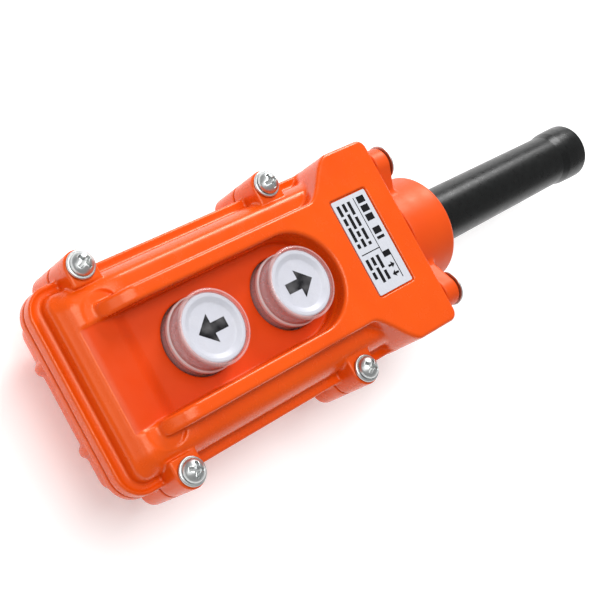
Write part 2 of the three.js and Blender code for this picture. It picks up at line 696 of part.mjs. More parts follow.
// ---------------------------------------------------------------- contact block and cable clamp
function contactBlock() {
  const body = box(-BLOCK.half, BLOCK.half, BLOCK.y0, BLOCK.y1, BLOCK.z0, BLOCK.z1);
  const lugs = roundedRect(6, BLOCK_SCREW_Y[0] - 4, BLOCK_SCREW_Y[1] + 4, 3, 3);
  const block = body.add(prismZ(lugs, BLOCK.z0, BLOCK.z0 + 4, 4));
  const tools = [];
  for (const y of BLOCK_SCREW_Y) {
    tools.push(rodZ(1.9, BLOCK.z0 - 1, BLOCK.z0 + 6, 0, y, 10));
  }
  const mid = (BUTTON_Y.up + BUTTON_Y.down) / 2;
  tools.push(box(-BLOCK.half - 1, BLOCK.half + 1, mid - 1.5, mid + 1.5, BLOCK.z1 - 5, BLOCK.z1 + 1));
  for (const y of Object.values(BUTTON_Y)) {
    tools.push(rodZ(4.6, 11, BLOCK.z1 + 1, 0, y, 16));
    for (const side of [-1, 1]) {
      tools.push(rodZ(1.9, 17.6, BLOCK.z1 + 1, side * 13.8, y, 10));
    }
  }
  return cut(block, tools);
}
piece('contact_block', contactBlock(), BLACK);

BLOCK_SCREW_Y.forEach((y, i) => {
  const z = BLOCK.z0 + 4 + GAP;
  const profile = [
    [0, 3.6], [1.5, 3.6], [1.5, z], [3.2, z], [3.2, z + 1.2], [2.4, z + 2], [0, z + 2.2],
  ];
  const screw = turnZ(profile, 0, y, 12).subtract(crossRecess(z + 2.2, 1.1, 1.6, 0, y));
  piece(`block_screw_${i + 1}`, screw, ZINC);
});

function clampSaddle() {
  const s = new THREE.Shape();
  const z = 22.3;
  const t = 1.6;
  const r = 7.2;
  s.moveTo(-16, z);
  s.lineTo(-r, z);
  s.absarc(0, z, r, Math.PI, 0, true);
  s.lineTo(16, z);
  s.lineTo(16, z + t);
  s.lineTo(Math.sqrt((r + t) ** 2 - t ** 2), z + t);
  s.absarc(0, z, r + t, Math.asin(t / (r + t)), Math.PI - Math.asin(t / (r + t)));
  s.lineTo(-16, z + t);
  const strap = prismY(s, CLAMP_Y - 3.5, CLAMP_Y + 3.5, 8);
  return cut(strap, [-1, 1].map((side) => rodZ(1.9, z - 1, z + 4, side * 12.5, CLAMP_Y, 10)));
}
piece('clamp_saddle', clampSaddle(), ZINC);

for (const [name, side] of [['left', -1], ['right', 1]]) {
  const z = 22.3 + 1.6 + GAP;
  const profile = [
    [0, 13], [1.5, 13], [1.5, z], [2.8, z], [2.8, z + 1.1], [2.1, z + 1.8], [0, z + 2],
  ];
  const x = side * 12.5;
  const screw = turnZ(profile, x, CLAMP_Y, 12).subtract(crossRecess(z + 2, 1, 1.5, x, CLAMP_Y));
  piece(`clamp_screw_${name}`, screw, ZINC);
}

export default group;
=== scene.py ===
import json
import math

import bmesh
import bpy
import numpy as np
from mathutils import Matrix, Vector


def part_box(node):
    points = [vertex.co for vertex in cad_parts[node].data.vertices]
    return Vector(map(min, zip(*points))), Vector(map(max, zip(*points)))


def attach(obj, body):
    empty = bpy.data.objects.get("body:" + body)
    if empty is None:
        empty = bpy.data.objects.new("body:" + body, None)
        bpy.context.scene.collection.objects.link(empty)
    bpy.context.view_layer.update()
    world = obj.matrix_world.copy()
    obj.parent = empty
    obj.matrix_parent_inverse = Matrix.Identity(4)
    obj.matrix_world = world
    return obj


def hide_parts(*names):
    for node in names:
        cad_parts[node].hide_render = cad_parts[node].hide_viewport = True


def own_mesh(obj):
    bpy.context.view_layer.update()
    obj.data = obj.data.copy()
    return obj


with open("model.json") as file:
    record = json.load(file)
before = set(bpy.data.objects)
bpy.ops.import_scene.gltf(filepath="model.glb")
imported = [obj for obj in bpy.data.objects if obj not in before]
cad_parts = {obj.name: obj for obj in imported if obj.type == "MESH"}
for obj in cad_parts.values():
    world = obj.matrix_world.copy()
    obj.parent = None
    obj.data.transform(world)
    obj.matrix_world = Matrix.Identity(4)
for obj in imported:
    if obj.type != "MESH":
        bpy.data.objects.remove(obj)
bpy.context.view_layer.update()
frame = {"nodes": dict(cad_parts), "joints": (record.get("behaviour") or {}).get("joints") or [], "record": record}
MM = 0.001


def extent(node):
    """Lowest and highest corner of a CAD node, in millimetres."""
    low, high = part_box(node)
    return np.array(low) / MM, np.array(high) / MM


def middle(node):
    low, high = extent(node)
    return (low + high) / 2


# ---------------------------------------------------------------- places, from the frame
cover_low, cover_high = extent("front_cover")
case_low, case_high = extent("back_casing")
collar_low, collar_high = extent("neck_collar")
sleeve_low, sleeve_high = extent("cable_sleeve")
label_low, label_high = extent("rating_label")
block_high = extent("contact_block")[1]

END_Y = cover_low[1]  # lower end of both shells
HEAD_Y = cover_high[1]  # cable end of both shells
JOINT_Z = cover_low[2]  # underside of the cover
DECK_Z = cover_high[2]  # label deck and rib tops
CORNERS = ("lower_left", "lower_right", "upper_left", "upper_right")
EARS = ("front_left", "front_right", "back_left", "back_right")
SCREWS = {corner: middle(f"cover_screw_{corner}") for corner in CORNERS}
SCREW_X = SCREWS["lower_right"][0]
SCREW_YS = (SCREWS["lower_right"][1], SCREWS["upper_right"][1])
BUTTONS = {name: middle(f"{name}_cap") for name in ("up", "down")}
COLLAR_Z = middle("neck_collar")[2]
EAR_X = middle("collar_screw_front_right")[0]
EAR_RISE = middle("collar_screw_front_right")[2] - COLLAR_Z
EAR_FACE_Y = extent("collar_screw_front_right")[1][1] - 3.1
LABEL_MID = middle("rating_label")
LABEL_HALF = (label_high - label_low) / 2

# ---------------------------------------------------------------- sizes of the shells
FLANGE_HALF = 30.0
FLARE_HALF = 30.4  # half width of the label deck at the cable end
FLARE_Y = (HEAD_Y - 30.3, HEAD_Y - 15.8)
CORNER_R = 7.8
HEAD_CORNER_R = 3
RIM_Z = DECK_Z - 13.4  # top of the flange's lip
LIP = 1.4
VALLEY_Z = DECK_Z - 14.2  # foot of the raised body
CHANNEL_Z = (VALLEY_Z + 0.35, VALLEY_Z + 0.8)  # channel behind the lip, from the lower end up
CHANNEL_RISE_Y = (END_Y + 8, END_Y + 18)
SEAT_Z = DECK_Z - 6.6  # seats of the cover screws
BOSS_R = cover_high[0] - SCREW_X
WEB_INNER = 25  # where a boss's web ends inside the body
WALL = 2.7
POCKET_WALL = 2.6
DECK_WALL = 2.8
ROOM_HALF = 23.4  # half width of the hollow under the pocket
HEAD_ROOM_HALF = 16  # half width of the hollow under the label deck

CREST_Z = DECK_Z - 4.6  # raised body beside the ribs
END_CREST_Z = DECK_Z - 6.5  # raised body at its lower end
CREST_RISE = 17  # length over which the crest rises from the lower end
SHOULDER_R = 6.8
BODY_HALF = 27.0
BODY_END_Y = END_Y + 3.7
SIDE_LEAN = 0.035  # draft of the side walls
END_LEAN = 0.08  # draft of the end wall
END_SLOPE_Y = (END_Y + 4.1, END_Y + 7.7)  # slope above the end wall
END_SLOPE_Z = (DECK_Z - 9.6, END_CREST_Z)
BODY_CORNER_R = (4.1, 1.5)  # at the foot and at the top of the slope

RIB_MID = 17.1
RIB_R = 2.2
RIB_END_Y = END_Y + 13.3
RIB_BEND = 11  # length over which a rib's top bends down to its nose
NOSE_DISH_R = 5.6
GROOVE_X = RIB_MID + RIB_R + 1.3
GROOVE_R = 6.0
GROOVE_RISE = 5.55  # height of the groove's centre line over the crest

POCKET_R = 14.9
FLOOR_Z = DECK_Z - 9.0
FLOOR_STEP = 1.4
FLOOR_STEP_Y = (END_Y + 17.0, END_Y + 22.2)
FLOOR_RISE = 0.1  # height gained in a length of one, from the step to the lower end
HOLE_R = 10.9

TUB_HALF = 25.6
TUB_END_Y = END_Y + 5.3
TUB_LEAN = 0.02  # draft of its side walls
TUB_SIDE_R = 10
TUB_END_R = 14
RAIL_PROUD = 1.2
BACK_Z = case_low[2] + RAIL_PROUD
CASE_RIM_DEPTH = 3.55
CASE_HEAD_DEPTH = 8.95
CASE_BOSS_DEPTH = 12.35
CASE_WEB_HALF = 4.0
RAIL_X = 12.5
RAIL_HALF = 1.7

SPIGOT_R = 12.9
COLLAR_BORE_R = 9.4
EAR_R = 4.9
EAR_BORE_R = 2.1

SCREW_HEAD_R = 3.4
SCREW_HEAD_H = 2.35
SCREW_DOME_R = 3.93
CROSS_HALF = 0.42


# ---------------------------------------------------------------- fields that shape the mouldings
# A field is negative inside the solid. Each helper works on whole arrays of points.
def length(*parts):
    return np.sqrt(sum(np.square(p) for p in parts))


def both(a, b, r=0.0):
    """Where a and b overlap, with the edge between them rounded to radius r."""
    corner = length(np.maximum(a + r, 0), np.maximum(b + r, 0))
    return np.minimum(-r, np.maximum(a, b)) + corner


def either(a, b, r=0.0):
    """a joined to b with a fillet of radius r."""
    corner = length(np.maximum(r - a, 0), np.maximum(r - b, 0))
    return np.maximum(r, np.minimum(a, b)) - corner


def without(a, b, r=0.0):
    """a with b cut out of it, and the edge of the cut rounded to radius r."""
    return both(a, -b, r)


def ease(v, v0, v1):
    """Runs softly from 0 at v0 to 1 at v1."""
    t = np.clip((v - v0) / (v1 - v0), 0, 1)
    return t * t * (3 - 2 * t)


def blend(start, end, share):
    return start + (end - start) * share


def plate(x, y, half, y0, y1, r0, r1):
    """Plan of a rectangle with corners r0 at its lower end and r1 at its cable end."""
    mid = (y0 + y1) / 2
    r = np.where(y < mid, r0, r1)
    u = np.abs(x) - half + r
    v = np.abs(y - mid) - (y1 - y0) / 2 + r
    return length(np.maximum(u, 0), np.maximum(v, 0)) + np.minimum(np.maximum(u, v), 0) - r


def outline_half(y):
    """Half width of the ribbed deck, which flares out at the cable end, and its slope."""
    rib_out = RIB_MID + RIB_R
    flare_length = FLARE_Y[1] - FLARE_Y[0]
    t = np.clip((y - FLARE_Y[0]) / flare_length, 0, 1)
    slope = (FLARE_HALF - rib_out) * 6 * t * (1 - t) / flare_length
    return blend(rib_out, FLARE_HALF, ease(y, *FLARE_Y)), slope


def pocket_plan(x, y):
    """The long pocket that the buttons stand in, round at its cable end."""
    return length(x, np.maximum(y - BUTTONS["up"][1], 0)) - POCKET_R


def boss_plan(x, y, screw_y, web_half, web_inner):
    """A screw boss and the web that ties it to its shell."""
    across = np.abs(x)
    boss = length(across - SCREW_X, y - screw_y) - BOSS_R
    web = np.maximum(np.abs(y - screw_y) - web_half, web_inner - across)
    return np.minimum(boss, np.maximum(web, across - SCREW_X))


def floor_height(y):
    """The pocket's floor, with a soft step and a slight rise towards the lower end."""
    step = FLOOR_STEP * (1 - ease(y, *FLOOR_STEP_Y))
    return FLOOR_Z + step + FLOOR_RISE * np.maximum(FLOOR_STEP_Y[0] - y, 0)


def rib_top(y):
    """Rib tops bend down into the lower end along a quadratic curve."""
    along = np.clip(y - RIB_END_Y, 0, RIB_BEND)
    t = 6 - np.sqrt(25 + along)  # 1 at the rib's end, 0 where the bend starts
    bent = DECK_Z * (1 - t) ** 2 + (DECK_Z + 0.3) * 2 * t * (1 - t) + (END_CREST_Z + 0.2) * t * t
    return np.minimum(bent, DECK_Z)


def body_field(x, y, z):
    """The raised body: round shoulders, a groove along each rib, a dish by each rib nose.

    It has no end at the cable end, so the cover's mesh is open there.
    """
    across = np.abs(x)
    crest = blend(END_CREST_Z, CREST_Z, ease(y, END_SLOPE_Y[1], END_SLOPE_Y[1] + CREST_RISE))
    side = across - (BODY_HALF - SIDE_LEAN * (z - VALLEY_Z))
    end = BODY_END_Y + END_LEAN * (z - VALLEY_Z) - y
    run, rise = END_SLOPE_Y[1] - END_SLOPE_Y[0], END_SLOPE_Z[1] - END_SLOPE_Z[0]
    slope = ((z - END_SLOPE_Z[0]) * run - (y - END_SLOPE_Y[0]) * rise) / math.hypot(run, rise)
    corner = blend(*BODY_CORNER_R, ease(z, *END_SLOPE_Z))
    body = both(both(side, z - crest, SHOULDER_R), both(end, slope, 0.9), corner)
    plan = length(across - GROOVE_X, np.minimum(y - RIB_END_Y - GROOVE_R, 0))
    groove = length(plan, z - (crest + GROOVE_RISE)) - GROOVE_R
    body = without(body, groove, 1.6)
    dish = length(across - RIB_MID, y - RIB_END_Y - RIB_R) - NOSE_DISH_R
    return without(body, both(dish, END_CREST_Z + 0.1 - z, 0.5), 0.5)


def flange_field(x, y, z):
    """The rim around the cover, with a channel between its lip and the body."""
    flange = plate(x, y, FLANGE_HALF, END_Y, HEAD_Y, CORNER_R, HEAD_CORNER_R)
    flange = both(flange, z - RIM_Z, 0.7)
    channel = plate(x, y, FLANGE_HALF - LIP, END_Y + LIP, HEAD_Y, CORNER_R - 2, 1)
    bottom = blend(*CHANNEL_Z, ease(y, *CHANNEL_RISE_Y))
    return without(flange, both(channel, bottom - z, 0.5), 0.8)


def deck_field(x, y, z):
    """The two ribs and the label deck that they run into."""
    half, slope = outline_half(y)
    side = (np.abs(x) - half) / np.sqrt(1 + slope * slope)
    rib_start = RIB_END_Y + RIB_R
    nose = length(np.abs(x) - RIB_MID, y - rib_start) - RIB_R
    rest = both(both(side, y - HEAD_Y, HEAD_CORNER_R), -pocket_plan(x, y), 0.2)
    return both(np.where(y < rib_start, nose, rest), z - rib_top(y), 1.0)


def wiring_field(x, y, z):
    """The hollow inside the cover, taller under the label deck than under the pocket."""
    room = plate(x, y, ROOM_HALF, BODY_END_Y + WALL, HEAD_Y - WALL, 4, 1)
    room = both(room, z - (FLOOR_Z - POCKET_WALL))
    head_room = plate(x, y, HEAD_ROOM_HALF, block_high[1] + 3.2, HEAD_Y - WALL, 1, 1)
    return np.minimum(room, both(head_room, z - (DECK_Z - DECK_WALL)))


def cover_field(x, y, z):
    shape = either(flange_field(x, y, z), body_field(x, y, z), 0.8)
    pocket = both(pocket_plan(x, y), (floor_height(y) - z) / 1.05, 0.5)
    shape = without(shape, pocket, 1.1)
    shape = either(shape, deck_field(x, y, z), 0.8)
    for screw_y in SCREW_YS:
        boss = both(boss_plan(x, y, screw_y, BOSS_R, WEB_INNER), z - SEAT_Z, 0.5)
        shape = either(shape, boss, 0.6)
    shape = both(shape, JOINT_Z - z, 0.35)

    reach = LABEL_HALF + 0.5
    ends = LABEL_MID[1] - reach[1], LABEL_MID[1] + reach[1]
    recess = plate(x - LABEL_MID[0], y, reach[0], *ends, 0.9, 0.9)
    shape = without(shape, both(recess, (DECK_Z - 0.9) - z), 0.3)
    for button in BUTTONS.values():
        shape = without(shape, length(x, y - button[1]) - HOLE_R, 0.5)
    shape = without(shape, wiring_field(x, y, z))
    neck = np.maximum(length(x, z - COLLAR_Z) - (SPIGOT_R + 0.3), collar_low[1] - 1.3 - y)
    return without(shape, neck)


def tub_field(x, y, z, inset):
    """The deep half of the casing, or with an inset the hollow inside it."""
    side = np.abs(x) - (TUB_HALF - inset) - TUB_LEAN * (z - case_high[2])
    end = TUB_END_Y + inset - y
    under = BACK_Z + inset - z
    across = both(side, under, TUB_SIDE_R - inset)
    along = both(both(end, under, TUB_END_R - inset), y - (HEAD_Y - inset), 2.0)
    return both(across, along, 3.5)


def casing_field(x, y, z):
    """The back casing: tub, rim, cable end, two back rails and four bosses, all hollowed out."""
    rim = plate(x, y, FLANGE_HALF, END_Y, HEAD_Y, CORNER_R, HEAD_CORNER_R)
    rim = both(rim, JOINT_Z - CASE_RIM_DEPTH - z, 0.9)
    head = plate(x, y, FLARE_HALF, FLARE_Y[1], HEAD_Y, 2, HEAD_CORNER_R)
    head = both(head, JOINT_Z - CASE_HEAD_DEPTH - z, 1.5)
    shape = either(either(tub_field(x, y, z, 0.0), rim, 1.2), head, 1.0)
    rail = both(TUB_END_Y - RAIL_PROUD - y, case_low[2] - z, TUB_END_R + RAIL_PROUD)
    rail = both(rail, y - (HEAD_Y - 4), 5)
    rail = both(np.abs(np.abs(x) - RAIL_X) - RAIL_HALF, rail, 1.4)
    shape = either(shape, rail, 0.8)
    for screw_y in SCREW_YS:
        boss = boss_plan(x, y, screw_y, CASE_WEB_HALF, WEB_INNER - 1)
        boss = both(boss, JOINT_Z - CASE_BOSS_DEPTH - z, 0.9)
        shape = either(shape, boss, 0.8)
    shape = both(shape, z - case_high[2], 0.35)
    return without(shape, tub_field(x, y, z, WALL))


def collar_field(x, y, z):
    """The neck collar: drum, four ears on arms, a spigot into the shells and a stepped bore."""
    across, rise = np.abs(x), z - COLLAR_Z
    around = length(x, rise)
    rise = np.abs(rise)
    reach = math.hypot(EAR_X, EAR_RISE)
    along = np.clip((across * EAR_X + rise * EAR_RISE) / reach, 0, reach)
    arm = length(across - along * EAR_X / reach, rise - along * EAR_RISE / reach) - EAR_R
    drum = both(around - (collar_high[2] - collar_low[2]) / 2, y - collar_high[1], 1.3)
    shape = either(drum, both(arm, y - EAR_FACE_Y, 0.8), 1.6)
    shape = both(shape, HEAD_Y + 0.3 - y, 0.4)
    spigot = both(around - SPIGOT_R, collar_low[1] - y, 0.3)
    shape = np.minimum(shape, both(spigot, y - (HEAD_Y + 2)))
    bore = either(around - COLLAR_BORE_R, both(around - (SPIGOT_R - 1), y - (HEAD_Y + 1.3)))
    ear_bore = length(across - EAR_X, rise - EAR_RISE) - EAR_BORE_R
    return without(without(shape, bore, 0.3), ear_bore)


def screw_head_field(x, y, z):
    """A domed pan head with a cross recess, standing on z = 0."""
    around = length(x, y)
    dome = length(around, z - (SCREW_HEAD_H - SCREW_DOME_R)) - SCREW_DOME_R
    head = both(both(around - SCREW_HEAD_R, dome, 0.4), -z, 0.12)
    reach = 2.5 - 0.6 * np.clip(2.2 - z, 0, 2)
    half = CROSS_HALF + 0.08 * (z - 1.2)
    arm_x = both(np.abs(x) - reach, np.abs(y) - half)
    arm_y = both(np.abs(y) - reach, np.abs(x) - half)
    cross = either(either(arm_x, arm_y, 0.1), around - 0.7 - 0.25 * (z - 1.0), 0.1)
    return without(head, both(cross, 0.9 - z, 0.1), 0.12)


# ---------------------------------------------------------------- meshes from fields
CELL_CORNERS = [(i, j, k) for i in (0, 1) for j in (0, 1) for k in (0, 1)]
UNIT = np.eye(3, dtype=int)


def show(name, mesh, smooth_angle=None):
    """An object for a mesh, smooth apart from edges sharper than an angle in degrees."""
    mesh.shade_smooth()
    if smooth_angle is not None:
        mesh.set_sharp_from_angle(angle=math.radians(smooth_angle))
    obj = bpy.data.objects.new(name, mesh)
    bpy.context.scene.collection.objects.link(obj)
    return obj


def new_object(name, points, faces, smooth_angle=None):
    """An object from points in millimetres."""
    mesh = bpy.data.meshes.new(name)
    mesh.from_pydata((np.asarray(points, float) * MM).tolist(), [], faces)
    return show(name, mesh, smooth_angle)


def crossed_cells(inside):
    """The grid cells that the surface passes through, and a grid with their numbers."""
    cells = tuple(np.array(inside.shape) - 1)
    filled = np.zeros(cells, np.int8)
    for i, j, k in CELL_CORNERS:
        filled += inside[i : i + cells[0], j : j + cells[1], k : k + cells[2]]
    active = (filled > 0) & (filled < len(CELL_CORNERS))
    index = np.full(cells, -1, np.int64)
    index[active] = np.arange(active.sum())
    return np.argwhere(active), index


def crossing_mean(values, cells):
    """The mean place in each cell, in steps, where the cell's edges meet the surface."""
    total = np.zeros((len(cells), 3))
    hits = np.zeros(len(cells))
    for axis in range(3):
        for corner in CELL_CORNERS:
            if corner[axis]:
                continue
            a = values[tuple((cells + corner).T)]
            b = values[tuple((cells + corner + UNIT[axis]).T)]
            crossing = (a < 0) != (b < 0)
            t = np.where(crossing, a / np.where(crossing, a - b, 1), 0)
            total += np.where(crossing[:, None], np.add(corner, np.outer(t, UNIT[axis])), 0)
            hits += crossing
    return total / hits[:, None]


def surface_quads(inside, index):
    """An outward quad around each grid edge that the surface crosses."""
    quads = []
    for axis in range(3):
        du, dv = UNIT[(axis + 1) % 3], UNIT[(axis + 2) % 3]
        change = inside != np.roll(inside, -1, axis)
        for k in range(3):
            border = [slice(None)] * 3
            border[k] = [0, -1]
            change[tuple(border)] = False
        edges = np.argwhere(change)
        ring = [edges, edges - du, edges - du - dv, edges - dv]
        ids = np.stack([index[tuple(cell.T)] for cell in ring], 1)
        outward = inside[tuple(edges.T)]
        ids[~outward] = ids[~outward][:, ::-1]
        quads.append(ids)
    return np.concatenate(quads).tolist()


def settle(points, field, step):
    """Draws points onto the surface along its normal."""
    h = 0.02
    for _ in range(3):
        x, y, z = points.T
        value = field(x, y, z)
        slope = np.stack([
            field(x + h, y, z) - field(x - h, y, z),
            field(x, y + h, z) - field(x, y - h, z),
            field(x, y, z + h) - field(x, y, z - h),
        ], 1) / (2 * h)
        steepness = np.maximum((slope ** 2).sum(1), 0.05)
        move = -slope * (value / steepness)[:, None]
        distance = np.maximum(np.linalg.norm(move, axis=1), 1e-9)
        points = points + move * np.minimum(1, 0.4 * step / distance)[:, None]
    return points


def moulding(name, field, low, high, step):
    """Quad mesh of the surface where a field is zero, drawn onto the exact surface.

    It is closed unless the solid runs on past the box from low to high.
    """
    low = np.asarray(low, float) - 1.5 * step
    high = np.asarray(high, float) + 1.5 * step
    counts = np.ceil((high - low) / step).astype(int) + 1
    axes = [low[i] + step * np.arange(counts[i]) for i in range(3)]
    values = np.broadcast_to(field(*np.ix_(*axes)), counts).astype(np.float32)
    cells, index = crossed_cells(values < 0)
    points = low + step * (cells + crossing_mean(values, cells))
    return new_object(name, settle(points, field, step), surface_quads(values < 0, index))


# ---------------------------------------------------------------- turned and flat shapes
def face_outward(mesh):
    shape = bmesh.new()
    shape.from_mesh(mesh)
    bmesh.ops.recalc_face_normals(shape, faces=shape.faces)
    shape.to_mesh(mesh)
    shape.free()


def rounded_path(corners):
    """Points of a closed path whose corners (r, h, radius) are rounded off."""
    path = []
    count = len(corners)
    for i, (r, h, radius) in enumerate(corners):
        here = np.array([r, h], float)
        if radius <= 0:
            path.append(here)
            continue
        before = np.array(corners[i - 1][:2], float) - here
        after = np.array(corners[(i + 1) % count][:2], float) - here
        before /= np.linalg.norm(before)
        after /= np.linalg.norm(after)
        half = math.acos(np.clip(before @ after, -1, 1)) / 2
        cut = radius / math.tan(half)
        start, end = here + before * cut, here + after * cut
        bisector = (before + after) / np.linalg.norm(before + after)
        centre = here + bisector * radius / math.sin(half)
        steps = max(2, int((math.pi - 2 * half) / math.radians(18)))
        for s in range(steps + 1):
            arm = start + (end - start) * s / steps - centre
            path.append(centre + arm * radius / np.linalg.norm(arm))
    return path


def turned(name, corners, centre, axis, segments):
    """A ring or a solid turned from a closed outline of (radius, height, rounding)."""
    points, faces, rows = [], [], []
    for r, h in rounded_path(corners):
        if r < 1e-6:
            rows.append([len(points)])
            points.append((0, 0, h))
            continue
        rows.append([len(points) + k for k in range(segments)])
        for k in range(segments):
            a = 2 * math.pi * k / segments
            points.append((r * math.cos(a), r * math.sin(a), h))
    for a, b in zip(rows, rows[1:] + rows[:1]):
        if len(a) == 1 and len(b) == 1:
            continue
        for k in range(segments):
            n = (k + 1) % segments
            if len(a) == 1:
                faces.append([a[0], b[n], b[k]])
            elif len(b) == 1:
                faces.append([a[k], a[n], b[0]])
            else:
                faces.append([a[k], a[n], b[n], b[k]])
    points = np.array(points)
    if axis == "y":
        points = points[:, [0, 2, 1]] * (1, 1, -1)
    obj = new_object(name, points + np.asarray(centre), faces, 40)
    face_outward(obj.data)
    return obj


def flat_solid(name, outlines, z0, z1):
    """Thin solids cut from closed outlines of (x, y) points, between two heights."""
    points, faces = [], []
    for outline in outlines:
        n = len(outline)
        base = len(points)
        points += [(x, y, z0) for x, y in outline] + [(x, y, z1) for x, y in outline]
        faces.append([base + n + k for k in range(n)])
        faces.append([base + k for k in reversed(range(n))])
        for k in range(n):
            m = (k + 1) % n
            faces.append([base + k, base + m, base + n + m, base + n + k])
    obj = new_object(name, points, faces, 30)
    face_outward(obj.data)
    return obj


def bar(x0, y0, x1, y1):
    return [(x0, y0), (x1, y0), (x1, y1), (x0, y1)]


def rounded_bar(centre, half, r):
    """Outline of a rectangle with its corners rounded to radius r."""
    points = []
    for sx, sy, start in ((1, 1, 0), (-1, 1, 90), (-1, -1, 180), (1, -1, 270)):
        for k in range(5):
            a = math.radians(start + 22.5 * k)
            x = centre[0] + sx * (half[0] - r) + r * math.cos(a)
            y = centre[1] + sy * (half[1] - r) + r * math.sin(a)
            points.append((x, y))
    return points


def arrow(cx, cy, tall, width, shaft, head, up):
    """A bold arrow along Y, centred on (cx, cy), with up as 1 or -1."""
    tip, tail = tall / 2, -tall / 2
    neck = tip - head
    points = [
        (0, tip), (-width / 2, neck), (-shaft / 2, neck), (-shaft / 2, tail),
        (shaft / 2, tail), (shaft / 2, neck), (width / 2, neck),
    ]
    return [(cx + x, cy + up * y) for x, y in points]


def spring_coil(name, centre, span):
    """A compression spring of round wire with closed ends, filling its CAD box."""
    low, high = span
    wire = 0.4
    closed_rise = 0.9  # rise of the first and of the last turn
    radius = (high[0] - low[0]) / 2 - wire
    bottom, top = low[2] + wire, high[2] - wire
    turns, steps, sides = 7, 24, 8
    at_turn = (0, 1, turns - 1, turns)
    at_height = (bottom, bottom + closed_rise, top - closed_rise, top)
    points, faces = [], []
    count = turns * steps
    for i in range(count + 1):
        rise = np.interp(i / steps, at_turn, at_height)
        a = 2 * math.pi * i / steps
        for k in range(sides):
            b = 2 * math.pi * k / sides
            out = radius + wire * math.cos(b)
            points.append((out * math.cos(a), out * math.sin(a), rise + wire * math.sin(b)))
    for i in range(count):
        for k in range(sides):
            m = (k + 1) % sides
            a, b = i * sides, (i + 1) * sides
            faces.append([a + k, a + m, b + m, b + k])
    faces.append(list(range(sides)))
    faces.append([count * sides + k for k in reversed(range(sides))])
    obj = new_object(name, np.array(points) + (centre[0], centre[1], 0), faces, 50)
    face_outward(obj.data)
    return obj


# ---------------------------------------------------------------- materials
# A noise scale is a number of cells in a metre, and a bump's distance is in metres.
class Nodes:
    """Short forms for building one material's node tree."""

    def __init__(self, name):
        self.material = bpy.data.materials.new(name)
        self.material.use_nodes = True
        self.tree = self.material.node_tree
        self.shader = self.tree.nodes["Principled BSDF"]
        self.coords = self.tree.nodes.new("ShaderNodeTexCoord").outputs["Object"]

    def add(self, kind, inputs=None, **settings):
        node = self.tree.nodes.new(kind)
        for key, value in settings.items():
            setattr(node, key, value)
        for key, value in (inputs or {}).items():
            self.put(node.inputs[key], value)
        return node

    def put(self, socket, value):
        if isinstance(value, bpy.types.NodeSocket):
            self.tree.links.new(value, socket)
        else:
            socket.default_value = value

    def noise(self, scale, detail=3.0, rough=0.5, stretch=(1, 1, 1)):
        coords = self.coords
        if stretch != (1, 1, 1):
            mapping = self.add("ShaderNodeMapping", {"Vector": coords, "Scale": stretch})
            coords = mapping.outputs["Vector"]
        made = self.add(
            "ShaderNodeTexNoise",
            {"Vector": coords, "Scale": scale, "Detail": detail, "Roughness": rough},
        )
        return made.outputs["Fac"]

    def spread(self, value, low, high, start=0.3, end=0.7):
        made = self.add(
            "ShaderNodeMapRange",
            {"Value": value, "From Min": start, "From Max": end, "To Min": low, "To Max": high},
        )
        return made.outputs["Result"]

    def mix(self, factor, first, second):
        made = self.add("ShaderNodeMix", data_type="RGBA")
        self.put(made.inputs[0], factor)
        self.put(made.inputs[6], first)
        self.put(made.inputs[7], second)
        return made.outputs[2]

    def bump(self, height, distance, strength=1.0, below=None):
        inputs = {"Height": height, "Distance": distance, "Strength": strength}
        if below is not None:
            inputs["Normal"] = below
        return self.add("ShaderNodeBump", inputs).outputs["Normal"]

    def set(self, **values):
        for key, value in values.items():
            self.put(self.shader.inputs[key.replace("_", " ")], value)
        return self.material


def rgb(red, green, blue):
    """Linear colour from a display colour of 0 to 255."""
    def linear(c):
        c /= 255
        return c / 12.92 if c <= 0.04045 else ((c + 0.055) / 1.055) ** 2.4

    return (linear(red), linear(green), linear(blue), 1.0)


def reflecting(material, ior, tint=(1.0, 1.0, 1.0, 1.0)):
    """Sets how strongly a material reflects and the tint of its reflections."""
    sockets = material.node_tree.nodes["Principled BSDF"].inputs
    sockets["IOR"].default_value = ior
    sockets["Specular Tint"].default_value = tint
    return material


def moulded(name, colour, darker, rough, grain=0.00002):
    """Injection-moulded plastic: fine skin texture, slow drift of tone and of gloss."""
    n = Nodes(name)
    drift = n.noise(45, 4)
    skin = n.noise(2600, 2, 0.6)
    smear = n.noise(225, 5, 0.6)
    tone = n.mix(n.spread(drift, 0.0, 1.0), darker, colour)
    wave = n.bump(n.noise(260, 2), 0.00003, 0.35)
    normal = n.bump(skin, grain, 0.5, wave)
    gloss = n.spread(smear, rough - 0.05, rough + 0.07)
    return n.set(Base_Color=tone, Roughness=gloss, Normal=normal)


def rubber(name, colour, lighter, rough):
    """Rubber: long faint flow marks, dusty bloom and a fine pitted skin."""
    n = Nodes(name)
    flow = n.noise(120, 4, 0.6, (1, 0.12, 1))
    bloom = n.noise(420, 6, 0.7)
    tone = n.mix(n.spread(bloom, 0.0, 1.0, 0.35, 0.75), colour, lighter)
    pits = n.bump(n.noise(3200, 2, 0.6), 0.00002, 0.6)
    normal = n.bump(flow, 0.00005, 0.3, pits)
    gloss = n.spread(bloom, rough - 0.06, rough + 0.08)
    return n.set(Base_Color=tone, Roughness=gloss, Normal=normal)


